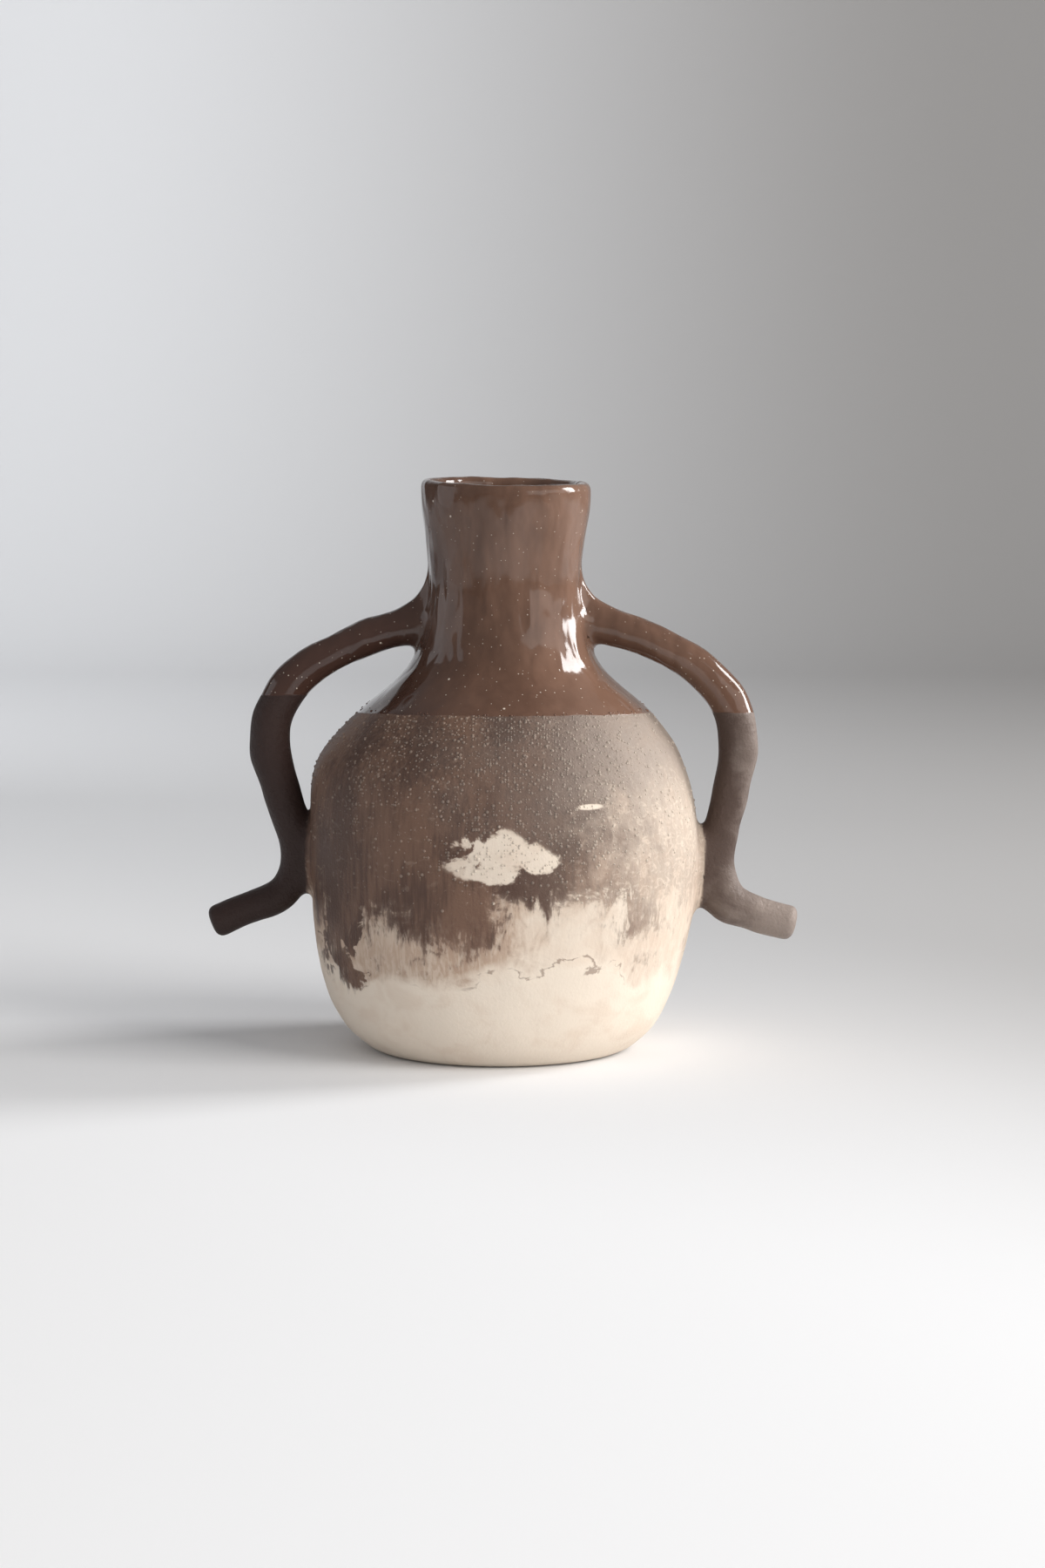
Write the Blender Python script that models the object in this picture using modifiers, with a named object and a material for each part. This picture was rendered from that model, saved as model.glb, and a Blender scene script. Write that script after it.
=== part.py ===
"""A hand-built ceramic vase with two coil handles, as the clay pieces that it is put together from.

Metres, +Z up. The vase stands on the plane z = 0, with its axis on z, and its handles reach out along x.
"""

import math

import bmesh
import bpy
import numpy as np
from mathutils import Matrix, Vector

# Clay thicknesses, and the gap kept between pieces that meet
JOINT_GAP = 0.0003
WALL = 0.005
SLAB_THICKNESS = 0.008

# Outside radius of each section of the body, and its rise above the section below it
FOOT_RADIUS = 0.0495
HEEL_RADIUS = 0.0606
HEEL_RISE = 0.010
FLANK_RADIUS = 0.0693
FLANK_RISE = 0.020
BELLY_RADIUS = 0.0753
BELLY_RISE = 0.046
SHOULDER_RADIUS = 0.0704
SHOULDER_RISE = 0.036
SLOPE_RADIUS = 0.0575
SLOPE_RISE = 0.0176
NECK_BASE_RADIUS = 0.0362
NECK_BASE_RISE = 0.0204
WAIST_RADIUS = 0.0295
WAIST_RISE = 0.028
RIM_RADIUS = 0.0325
RIM_RISE = 0.034
LIP_RISE = 0.008

# How far the hand-built sections sit to the side of the axis, along x
FOOT_LEAN = -0.0016
BELLY_LEAN = 0.0003
SHOULDER_LEAN = -0.0017
NECK_LEAN = 0.0
LIP_LEAN = 0.0003

# Where the wall courses meet, measured from the belly's widest section and from the lip
LOWER_SEAM_DROP = 0.036
UPPER_SEAM_RISE = 0.024
RIM_COIL_HEIGHT = 0.015

# Handle coil: its rounded square section
HANDLE_THICKNESS = 0.0145
HANDLE_SQUARENESS = 3.0

# Handle's root: its rise above the neck's base, and how deep it runs into the neck
ROOT_RISE = 0.0145
ROOT_BITE = 0.008

# Handle's arch: each point's inset from the elbow, and its drop below the root
CREST_INSET = 0.0352
CREST_DROP = 0.0057
BEND_INSET = 0.0172
BEND_DROP = 0.0157
TURN_INSET = 0.0060
TURN_DROP = 0.0260

# Handle's lower half: the coil's gap to the wall at each point, and the point's rise above the belly
ELBOW_GAP = 0.0174
ELBOW_RISE = 0.0440
FOREARM_GAP = 0.0062
FOREARM_RISE = 0.0235
LEFT_BITE = 0.0022
RIGHT_BITE = 0.0010
CONTACT_RISE = -0.0040
KICK_GAP = 0.0063
KICK_RISE = -0.0182
TAIL_GAP = 0.0334
TAIL_RISE = -0.0274
TAIL_ROUNDING = 0.005

# Clay luted round the handle's root at the neck
FLARE_WIDTH = 0.0065
FLARE_LENGTH = 0.014
FLARE_EDGE = 0.0009

# Clay luted round the handle where it is pressed onto the belly
PAD_DEPTH = 0.0080
PAD_SIDE_SPREAD = 0.0052
PAD_END_SPREAD = 0.0085

# Fineness of the facets
SIDES = 48
ROW_HEIGHT = 0.0065
FEWEST_ROWS = 4
LIP_STEPS = 6
SPLINE_STEPS = 12
SECTION_SIDES = 16
COIL_STEP = 0.005
TAIL_STEPS = 3
FLARE_STEPS = 10
PAD_SEGMENTS = 28
PAD_RINGS = 18
POINT_MERGE = 1e-6
SMOOTH_ANGLE = math.radians(40)

# Levels of the sections above the ground
HEEL_LEVEL = HEEL_RISE
FLANK_LEVEL = HEEL_LEVEL + FLANK_RISE
BELLY_LEVEL = FLANK_LEVEL + BELLY_RISE
SHOULDER_LEVEL = BELLY_LEVEL + SHOULDER_RISE
SLOPE_LEVEL = SHOULDER_LEVEL + SLOPE_RISE
NECK_BASE_LEVEL = SLOPE_LEVEL + NECK_BASE_RISE
WAIST_LEVEL = NECK_BASE_LEVEL + WAIST_RISE
RIM_LEVEL = WAIST_LEVEL + RIM_RISE
LIP_LEVEL = RIM_LEVEL + LIP_RISE

# Level of the handles' roots
ROOT_LEVEL = NECK_BASE_LEVEL + ROOT_RISE

# Levels of the seams between the courses
SLAB_SEAM = SLAB_THICKNESS
LOWER_SEAM = BELLY_LEVEL - LOWER_SEAM_DROP
UPPER_SEAM = BELLY_LEVEL + UPPER_SEAM_RISE
NECK_SEAM = NECK_BASE_LEVEL
RIM_SEAM = LIP_LEVEL - RIM_COIL_HEIGHT

# Section radius, level and lean, from the foot to the lip
STATIONS = [
    (FOOT_RADIUS, 0.0, FOOT_LEAN),
    (HEEL_RADIUS, HEEL_LEVEL, FOOT_LEAN),
    (FLANK_RADIUS, FLANK_LEVEL, FOOT_LEAN),
    (BELLY_RADIUS, BELLY_LEVEL, BELLY_LEAN),
    (SHOULDER_RADIUS, SHOULDER_LEVEL, SHOULDER_LEAN),
    (SLOPE_RADIUS, SLOPE_LEVEL, NECK_LEAN),
    (NECK_BASE_RADIUS, NECK_BASE_LEVEL, NECK_LEAN),
    (WAIST_RADIUS, WAIST_LEVEL, NECK_LEAN),
    (RIM_RADIUS, RIM_LEVEL, LIP_LEAN),
    (RIM_RADIUS, LIP_LEVEL, LIP_LEAN),
]

# Finish: colour and roughness
BARE_CLAY = ((0.66, 0.56, 0.44), 0.85)
BROWN_SLIP = ((0.16, 0.115, 0.085), 0.75)
BROWN_GLAZE = ((0.085, 0.045, 0.028), 0.18)


def smooth_curve(points, steps):
    """A curve through the points that bends evenly at each of them (a centripetal Catmull-Rom spline)."""
    inner = np.array(points, float)
    ends = 2 * inner[0] - inner[1], 2 * inner[-1] - inner[-2]
    knots = np.vstack([ends[0], inner, ends[1]])
    curve = []
    for a, b, c, d in zip(knots[:-3], knots[1:-2], knots[2:-1], knots[3:]):
        ta = math.sqrt(np.linalg.norm(b - a))
        tb = math.sqrt(np.linalg.norm(c - b))
        tc = math.sqrt(np.linalg.norm(d - c))
        leave = ((b - a) / ta - (c - a) / (ta + tb) + (c - b) / tb) * tb
        arrive = ((c - b) / tb - (d - b) / (tb + tc) + (d - c) / tc) * tb
        for t in np.arange(steps) / steps:
            start = (1 + 2 * t) * (1 - t) ** 2 * b + t * (1 - t) ** 2 * leave
            curve.append(start + t * t * (3 - 2 * t) * c + t * t * (t - 1) * arrive)
    curve.append(inner[-1])
    return np.array(curve)


OUTLINE = smooth_curve(STATIONS, SPLINE_STEPS)


def outline_normals():
    """Outward direction (radius, level) at each point of the outline."""
    slope = np.gradient(OUTLINE[:, :2], axis=0)
    normals = np.column_stack([slope[:, 1], -slope[:, 0]])
    return normals / np.linalg.norm(normals, axis=1, keepdims=True)


INSIDE = OUTLINE[:, :2] - WALL * outline_normals()


def outer_radius(level):
    return float(np.interp(level, OUTLINE[:, 1], OUTLINE[:, 0]))


def inner_radius(level):
    return float(np.interp(level, INSIDE[:, 1], INSIDE[:, 0]))


def lean(level):
    """How far the section at this level sits to the side of the axis."""
    return float(np.interp(level, OUTLINE[:, 1], OUTLINE[:, 2]))


def rows(low, high):
    """Evenly spaced levels from high down to low."""
    count = max(FEWEST_ROWS, round((high - low) / ROW_HEIGHT))
    return [high + (low - high) * i / count for i in range(count + 1)]


def new_object(name, data, collection):
    made = bpy.data.objects.new(name, data)
    collection.objects.link(made)
    return made


def evaluated_mesh(source, name):
    """The mesh of an object with its modifiers or its bevel, closed and facing out. The object is removed."""
    graph = bpy.context.evaluated_depsgraph_get()
    mesh = bpy.data.meshes.new_from_object(source.evaluated_get(graph))
    mesh.name = name
    bpy.data.objects.remove(source)
    shape = bmesh.new()
    shape.from_mesh(mesh)
    bmesh.ops.remove_doubles(shape, verts=shape.verts, dist=POINT_MERGE)
    bmesh.ops.recalc_face_normals(shape, faces=shape.faces)
    shape.to_mesh(mesh)
    shape.free()
    return mesh


def turned(name, profile, closed, collection):
    """Turns a profile of (radius, level) points round the axis, then leans its sections to the side."""
    mesh = bpy.data.meshes.new(name + "_profile")
    edges = [(i, i + 1) for i in range(len(profile) - 1)]
    if closed:
        edges.append((len(profile) - 1, 0))
    mesh.from_pydata([(radius, 0.0, level) for radius, level in profile], edges, [])
    lathe = new_object(name + "_profile", mesh, collection)
    screw = lathe.modifiers.new("turn", "SCREW")
    screw.axis = "Z"
    screw.steps = SIDES
    screw.render_steps = SIDES
    screw.use_merge_vertices = True
    screw.merge_threshold = POINT_MERGE
    bpy.context.view_layer.update()
    solid = evaluated_mesh(lathe, name)
    for vertex in solid.vertices:
        vertex.co.x += lean(vertex.co.z)
    return new_object(name, solid, collection)


def wall_course(name, low, high, collection):
    """One course of the wall, between two level seams, with half of the joint's gap at each."""
    levels = rows(low + JOINT_GAP / 2, high - JOINT_GAP / 2)
    outside = [(outer_radius(level), level) for level in levels]
    inside = [(inner_radius(level), level) for level in reversed(levels)]
    return turned(name, outside + inside, True, collection)


def rim_coil(name, collection):
    """The top course, whose lip is rounded over half the wall's thickness."""
    rounding = WALL / 2
    crown = LIP_LEVEL - rounding
    levels = rows(RIM_SEAM + JOINT_GAP / 2, crown)
    middle = outer_radius(crown) - rounding
    angles = [math.pi * (1 - i / LIP_STEPS) for i in range(1, LIP_STEPS)]
    lip = [(middle + rounding * math.cos(a), crown + rounding * math.sin(a)) for a in angles]
    outside = [(outer_radius(level), level) for level in levels]
    inside = [(inner_radius(level), level) for level in reversed(levels[1:])]
    return turned(name, outside + inside + [(middle - rounding, crown)] + lip, True, collection)


def base_slab(name, collection):
    """The flat slab under the wall, rounded up from the foot to its seam with the first course."""
    levels = rows(0.0, SLAB_SEAM - JOINT_GAP / 2)
    edge = [(outer_radius(level), level) for level in levels]
    return turned(name, [(0.0, levels[0])] + edge + [(0.0, 0.0)], False, collection)


def body_envelope(collection):
    """The solid outside of the body, one joint gap proud of it, that pieces luted onto it are cut by."""
    levels = rows(SLAB_SEAM, LIP_LEVEL)
    edge = [(outer_radius(level) + JOINT_GAP * gap_stretch(level), level) for level in levels]
    profile = [(0.0, LIP_LEVEL)] + edge + [(0.0, SLAB_SEAM)]
    return as_cutter(turned("body_envelope", profile, False, collection))


def gap_stretch(level):
    """How much wider a gap square to the wall is when it is measured level, on the slope there."""
    slope = np.gradient(OUTLINE[:, 0], OUTLINE[:, 1])
    return math.hypot(1.0, float(np.interp(level, OUTLINE[:, 1], slope)))


def as_cutter(made):
    made.hide_render = True
    made.display_type = "WIRE"
    return made


def cut(made, cutter):
    boolean = made.modifiers.new("cut_by_" + cutter.name, "BOOLEAN")
    boolean.operation = "DIFFERENCE"
    boolean.object = cutter


def wall_point(side, gap, rise):
    """Where the coil's middle passes the wall, this far above the belly, with this gap between them."""
    level = BELLY_LEVEL + rise
    return Vector((side * (outer_radius(level) + gap + HANDLE_THICKNESS / 2), 0.0, level))


def contact_point(side, bite):
    """Where the coil's middle passes the belly that it is pressed onto."""
    point = wall_point(side, -bite, CONTACT_RISE)
    point.x += lean(point.z)
    return point


def handle_curve(side, bite):
    """The coil's middle line, from inside the neck's wall to the tail."""
    root = Vector((side * (outer_radius(ROOT_LEVEL) - ROOT_BITE), 0.0, ROOT_LEVEL))
    elbow = wall_point(side, ELBOW_GAP, ELBOW_RISE)
    points = [root]
    for inset, drop in ((CREST_INSET, CREST_DROP), (BEND_INSET, BEND_DROP), (TURN_INSET, TURN_DROP)):
        points.append(Vector((elbow.x - side * inset, 0.0, ROOT_LEVEL - drop)))
    points += [
        elbow,
        wall_point(side, FOREARM_GAP, FOREARM_RISE),
        contact_point(side, bite),
        wall_point(side, KICK_GAP, KICK_RISE),
        wall_point(side, TAIL_GAP, TAIL_RISE),
    ]
    return smooth_curve(points, SPLINE_STEPS)


def handle_route(curve):
    """Evenly spaced points along the coil's middle line, closer together where the tail is rounded off."""
    along = distance_along(curve)
    count = round(along[-1] / COIL_STEP)
    places = np.linspace(0.0, along[-1] - TAIL_ROUNDING, count)
    bends = np.linspace(0.0, math.pi / 2, TAIL_STEPS + 1)[1:]
    tail = along[-1] - TAIL_ROUNDING * (1 - np.sin(bends))
    return resampled(curve, along, np.concatenate([places, tail]))


def contact_levels(curve):
    """The lowest and the highest level at which the coil reaches the belly."""
    elbow_level = BELLY_LEVEL + ELBOW_RISE
    below = [(abs(x - lean(z)), z) for x, _, z in curve if z < elbow_level]
    touching = [z for reach, z in below if reach - outer_radius(z) < HANDLE_THICKNESS / 2]
    return min(touching), max(touching)


def distance_along(curve):
    steps = np.linalg.norm(np.diff(curve, axis=0), axis=1)
    return np.concatenate([[0.0], np.cumsum(steps)])


def resampled(curve, along, places):
    """The points of a curve at these distances along it."""
    return np.column_stack([np.interp(places, along, curve[:, i]) for i in range(3)])


def tail_sizes(route):
    """The coil's size at each point of its route: full, then rounded off at the tail."""
    left = distance_along(route)[-1] - distance_along(route)
    over = np.clip(1 - left / TAIL_ROUNDING, 0.0, 1.0)
    corner = TAIL_ROUNDING / (HANDLE_THICKNESS / 2)
    return 1 - corner * (1 - np.sqrt(1 - over**2))


def coil_section(name, thickness, collection):
    """The coil's rounded square section, as a closed flat curve."""
    angles = np.linspace(0.0, 2 * math.pi, SECTION_SIDES, endpoint=False)
    power = 2 / HANDLE_SQUARENESS
    data = bpy.data.curves.new(name, "CURVE")
    spline = data.splines.new("POLY")
    spline.points.add(SECTION_SIDES - 1)
    for point, angle in zip(spline.points, angles):
        across = math.copysign(abs(math.cos(angle)) ** power, math.cos(angle))
        along = math.copysign(abs(math.sin(angle)) ** power, math.sin(angle))
        point.co = (across * thickness / 2, along * thickness / 2, 0.0, 1.0)
    spline.use_cyclic_u = True
    return as_cutter(new_object(name, data, collection))


def coil(name, route, sizes, section, collection):
    """A coil of clay along a route, with its section scaled at each point."""
    data = bpy.data.curves.new(name + "_route", "CURVE")
    data.dimensions = "3D"
    data.bevel_mode = "OBJECT"
    data.bevel_object = section
    data.use_fill_caps = True
    spline = data.splines.new("POLY")
    spline.points.add(len(route) - 1)
    for point, place, size in zip(spline.points, route, sizes):
        point.co = (*place, 1.0)
        point.radius = size
    path = new_object(name + "_route", data, collection)
    bpy.context.view_layer.update()
    return new_object(name, evaluated_mesh(path, name), collection)


def neck_fillet(name, route, section, collection):
    """A collar of clay round the handle's root, flaring out towards the neck."""
    along = distance_along(route)
    places = np.linspace(0.0, ROOT_BITE + FLARE_LENGTH, FLARE_STEPS)
    spread = np.clip(1 - (places - ROOT_BITE) / FLARE_LENGTH, 0.0, 1.0) ** 2
    sizes = 1 + (FLARE_EDGE + (FLARE_WIDTH - FLARE_EDGE) * spread) / (HANDLE_THICKNESS / 2)
    return coil(name, resampled(route, along, places), sizes, section, collection)


def wall_face(side, level):
    """Where the wall's outside crosses the plane of the handles at this level."""
    return Vector((side * outer_radius(level) + lean(level), 0.0, level))


def belly_fillet(name, side, curve, collection):
    """A pad of clay spread round the handle and along the belly, past both ends of their contact."""
    low, high = contact_levels(curve)
    run = wall_face(side, high + PAD_END_SPREAD) - wall_face(side, low - PAD_END_SPREAD)
    half_width = HANDLE_THICKNESS / 2 + PAD_SIDE_SPREAD
    tilt = Matrix.Rotation(math.atan2(run.x, run.z), 3, "Y")
    shape = bmesh.new()
    bmesh.ops.create_uvsphere(shape, u_segments=PAD_SEGMENTS, v_segments=PAD_RINGS, radius=1.0)
    bmesh.ops.scale(shape, vec=(PAD_DEPTH, half_width, run.length / 2), verts=shape.verts)
    bmesh.ops.rotate(shape, matrix=tilt, verts=shape.verts)
    bmesh.ops.translate(shape, vec=wall_face(side, (low + high) / 2), verts=shape.verts)
    mesh = bpy.data.meshes.new(name)
    shape.to_mesh(mesh)
    shape.free()
    return new_object(name, mesh, collection)


def handle_pieces(side_name, side, bite, parts, cutters, envelope):
    """One handle with the clay luted round both of its joints."""
    section = coil_section(side_name + "_section", HANDLE_THICKNESS, cutters)
    curve = handle_curve(side, bite)
    route = handle_route(curve)
    sizes = tail_sizes(route)
    handle = coil(side_name + "_handle", route, sizes, section, parts)
    cut(handle, envelope)
    roomy = 1 + JOINT_GAP / (HANDLE_THICKNESS / 2)
    clear = as_cutter(coil(side_name + "_handle_room", route, sizes * roomy, section, cutters))
    collar = neck_fillet(side_name + "_neck_fillet", route, section, parts)
    pad = belly_fillet(side_name + "_belly_fillet", side, curve, parts)
    for luted in (collar, pad):
        cut(luted, clear)
        cut(luted, envelope)
    return handle, collar, pad


def clay_material(name, finish):
    colour, roughness = finish
    material = bpy.data.materials.new(name)
    material.use_nodes = True
    shader = material.node_tree.nodes["Principled BSDF"]
    shader.inputs["Base Color"].default_value = (*colour, 1.0)
    shader.inputs["Roughness"].default_value = roughness
    return material


def finish_piece(made, material, parent):
    made.data.materials.append(material)
    made.data.shade_smooth()
    made.data.set_sharp_from_angle(angle=SMOOTH_ANGLE)
    made.parent = parent


def new_collection(name):
    made = bpy.data.collections.new(name)
    bpy.context.scene.collection.children.link(made)
    return made


def main():
    for old in list(bpy.data.objects):
        bpy.data.objects.remove(old)
    parts = new_collection("ceramic_vase")
    cutters = new_collection("cutters")
    axis = new_object("vase_axis", None, parts)
    bare = clay_material("bare_clay", BARE_CLAY)
    slip = clay_material("brown_slip", BROWN_SLIP)
    glaze = clay_material("brown_glaze", BROWN_GLAZE)

    finish_piece(base_slab("base_slab", parts), bare, axis)
    finish_piece(wall_course("lower_wall", SLAB_SEAM, LOWER_SEAM, parts), bare, axis)
    finish_piece(wall_course("belly_wall", LOWER_SEAM, UPPER_SEAM, parts), slip, axis)
    finish_piece(wall_course("shoulder_wall", UPPER_SEAM, NECK_SEAM, parts), slip, axis)
    finish_piece(wall_course("neck_collar", NECK_SEAM, RIM_SEAM, parts), glaze, axis)
    finish_piece(rim_coil("rim_coil", parts), glaze, axis)

    envelope = body_envelope(cutters)
    for side_name, side, bite in (("left", -1, LEFT_BITE), ("right", 1, RIGHT_BITE)):
        handle, collar, pad = handle_pieces(side_name, side, bite, parts, cutters, envelope)
        finish_piece(handle, slip, axis)
        finish_piece(collar, glaze, axis)
        finish_piece(pad, slip, axis)


main()
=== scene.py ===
import itertools
import math

import bmesh
import bpy
import numpy as np
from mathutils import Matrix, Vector, noise


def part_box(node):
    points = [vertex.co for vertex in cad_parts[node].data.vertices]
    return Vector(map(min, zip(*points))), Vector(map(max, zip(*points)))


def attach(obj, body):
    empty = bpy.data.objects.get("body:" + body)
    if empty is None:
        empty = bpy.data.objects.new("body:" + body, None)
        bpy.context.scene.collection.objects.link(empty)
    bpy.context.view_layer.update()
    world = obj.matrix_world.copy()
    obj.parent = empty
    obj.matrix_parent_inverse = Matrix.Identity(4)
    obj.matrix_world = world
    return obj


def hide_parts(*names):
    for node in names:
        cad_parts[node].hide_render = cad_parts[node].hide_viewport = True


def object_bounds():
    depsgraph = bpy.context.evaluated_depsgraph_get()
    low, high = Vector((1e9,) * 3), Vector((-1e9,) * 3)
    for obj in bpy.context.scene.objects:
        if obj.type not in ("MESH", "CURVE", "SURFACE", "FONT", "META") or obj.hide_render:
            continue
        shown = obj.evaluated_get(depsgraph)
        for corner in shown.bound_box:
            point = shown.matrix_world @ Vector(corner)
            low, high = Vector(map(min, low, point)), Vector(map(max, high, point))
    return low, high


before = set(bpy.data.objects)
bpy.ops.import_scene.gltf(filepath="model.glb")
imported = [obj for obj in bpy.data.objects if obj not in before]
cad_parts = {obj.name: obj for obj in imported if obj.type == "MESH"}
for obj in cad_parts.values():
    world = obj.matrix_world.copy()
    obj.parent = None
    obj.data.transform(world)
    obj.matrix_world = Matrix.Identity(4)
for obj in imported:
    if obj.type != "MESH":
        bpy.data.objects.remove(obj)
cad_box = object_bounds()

# Lengths are in metres, except in the finish

# Wall: outside radius, level, and sideways lean of the axis
SECTIONS = (
    (0.0495, 0.0000, -0.0016),
    (0.0606, 0.0100, -0.0016),
    (0.0693, 0.0300, -0.0016),
    (0.0753, 0.0760, 0.0003),
    (0.0704, 0.1120, -0.0017),
    (0.0575, 0.1296, 0.0000),
    (0.0362, 0.1500, 0.0000),
    (0.0295, 0.1780, 0.0000),
    (0.0325, 0.2120, 0.0003),
    (0.0325, 0.2200, 0.0003),
)
WALL = 0.005
SLAB_TOP = 0.0068
LIP_LEVEL = 0.2200
LIP_TILT = -0.028
LIP_ROUND = 0.0035
FOOT_ROUND = 0.003
CAVITY_ROUND = 0.010
TABLE_STEP = 0.00025
TABLE_BLUR = 0.0018
SECTION_STEPS = 24

# Handles: centre line and half thickness, from inside the neck to the free tail
LEFT_ROUTE = (
    (-0.0220, 0.1645, 0.0072),
    (-0.0435, 0.1622, 0.0070),
    (-0.0650, 0.1541, 0.0070),
    (-0.0808, 0.1435, 0.0074),
    (-0.0893, 0.1295, 0.0075),
    (-0.0906, 0.1155, 0.0073),
    (-0.0863, 0.0991, 0.0070),
    (-0.0808, 0.0810, 0.0070),
    (-0.0808, 0.0692, 0.0067),
    (-0.0860, 0.0604, 0.0063),
    (-0.0980, 0.0549, 0.0063),
    (-0.1092, 0.0502, 0.0064),
)
RIGHT_ROUTE = (
    (0.0220, 0.1650, 0.0074),
    (0.0404, 0.1634, 0.0072),
    (0.0615, 0.1557, 0.0072),
    (0.0770, 0.1460, 0.0073),
    (0.0865, 0.1345, 0.0074),
    (0.0902, 0.1200, 0.0074),
    (0.0884, 0.1035, 0.0070),
    (0.0840, 0.0845, 0.0070),
    (0.0826, 0.0700, 0.0072),
    (0.0860, 0.0576, 0.0083),
    (0.0970, 0.0522, 0.0070),
    (0.1080, 0.0491, 0.0069),
)
ROUTES = {"left_handle": LEFT_ROUTE, "right_handle": RIGHT_ROUTE}
ROUTE_STEPS = 12
COIL_BEGINS = 0.012
COIL_EDGE_SPAN = (-0.0014, 0.0006)
TAIL_ROUND = 0.0050
TAIL_BLUNTNESS = 3.4
GRID_STEP = 0.0005
GRID_REACH = 0.024
GRID_END = 1.001

# Clay pressed into the joints: how far a joint's hollow curve reaches
NECK_BLEND_OVER = 0.019
NECK_BLEND_UNDER = 0.005
NECK_FLANK_LOSS = 0.6
NECK_FLANK_SPAN = (0.4, 1.0)
BELLY_BLEND = 0.009
BELLY_BLEND_ENDS = 0.003
BELLY_PRESS_BOTTOM = {"left_handle": (0.054, 0.064), "right_handle": (0.043, 0.054)}
BELLY_PRESS_TOP = (0.092, 0.080)
JOINTS_PARTED = 0.110

# Skin
NET_STEP = 0.0011
NET_MARGIN = 0.006
FIRST_PULLS = 4
LAST_PULLS = 2
RELAX_ROUNDS = 6
PROBE = 0.00002
LONGEST_MOVE = 0.001
LEAST_SLOPE = 0.1

# Unevenness of hand-building
SWELL_LENGTH = 0.048
SWELL_DEPTH = 0.0007
DENT_LENGTH = 0.012
DENT_DEPTH = 0.00028
HANDLE_DENTS = 2.2
RIPPLE_WIDTH = 0.007
RIPPLE_HEIGHT = 0.05
RIPPLE_DEPTH = 0.00022
RIPPLE_SPAN = (0.140, 0.165)
FOOT_SPAN = (0.001, 0.010)

# Sand grains that stand up under the slip: each dome's rings are (width, height) for a grain of radius 1
GRAIN_COUNT = 3000
GRAIN_SEED = 7
GRAIN_LEAST = 0.00028
GRAIN_MOST = 0.00072
GRAIN_HIGHEST = 0.1345
GRAIN_SIDES = 6
GRAIN_RINGS = ((1.10, -0.40), (0.97, 0.12), (0.64, 0.50))
GRAIN_TOP = 0.72
GRAIN_TURN = (0.3, 0.2, 0.93)
GRAIN_NORMAL_STRETCH = (0.8, 0.8, 0.5)
GRAIN_NORMAL_LIFT = (0, 0, 0.35)
GRAIN_DEEPEST = -0.001
GRAIN_COIL_LIMIT = 0.1

# Where the grains lie: an even share and drifts, fewer on the right, and most on the front of the shoulder
EVEN_SHARE = 0.12
DRIFT_SHARE = 0.35
DRIFT_SPAN = (-0.1, 0.5)
DRIFT_LENGTH = 0.030
DRIFT_SHIFT = (7.0, 3.0, 1.0)
FRONT_SHARE = 0.9
FRONT_MIDDLE = 0.010
FRONT_SPREAD = 0.034
RIGHT_LOSS = 0.8
RIGHT_SPAN = (0.020, 0.050)
UPPER_SPAN = (0.060, 0.090)

# Colours, as linear shares of red, green and blue
CLAY = (0.77, 0.675, 0.57, 1)
BLUSH = (0.68, 0.555, 0.45, 1)
WASH = (0.41, 0.277, 0.198, 1)
SLIP_DARK = (0.092, 0.054, 0.041, 1)
# Painted shade and light: the handles' slip is dark on the shaded left handle and paler on the lit right one
HANDLE_SLIP_SHADED = (0.037, 0.022, 0.019, 1)
HANDLE_SLIP_LIT = (0.082, 0.055, 0.045, 1)
# Wear and painted light: the pale slip on the right handle's tail and outer edge
HANDLE_WORN_AND_LIT = (0.350, 0.290, 0.255, 1)
SLIP_RED = (0.176, 0.103, 0.072, 1)
# Grey tone with painted sheen: the slip greyer and paler towards the upper right, where the light grazes
SLIP_GREY_SHEEN = (0.165, 0.127, 0.109, 1)
# Sand colour and painted highlight: the pale tint on the grains
SAND_AND_HIGHLIGHT = (0.60, 0.52, 0.44, 1)
GLAZE_DARK = (0.096, 0.051, 0.034, 1)
GLAZE_LIGHT = (0.152, 0.084, 0.057, 1)
# Painted shade: the glaze's darker brown on the left of the shoulder and on the left handle
GLAZE_PAINTED_SHADE = (0.052, 0.026, 0.020, 1)
# Painted light: the glaze's paler brown on the lit right of the front
GLAZE_PAINTED_LIGHT = (0.230, 0.133, 0.093, 1)
GLAZE_RED = (0.120, 0.058, 0.036, 1)
SPECK = (0.70, 0.60, 0.50, 1)
FLOOR_TONE = (0.90, 0.90, 0.91, 1)
# Painted shade: the floor's darker tone far off and near the lamps
FLOOR_FAR = (0.25, 0.25, 0.25, 1)
# Painted shade: the backdrop lighter on the left and darker on the right
BACKDROP_LEFT = (0.80, 0.81, 0.83, 1)
BACKDROP_RIGHT = (0.38, 0.37, 0.365, 1)
ROOM_TONE = (0.95, 0.97, 1.0)
ROOM_STRENGTH = 0.23

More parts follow.
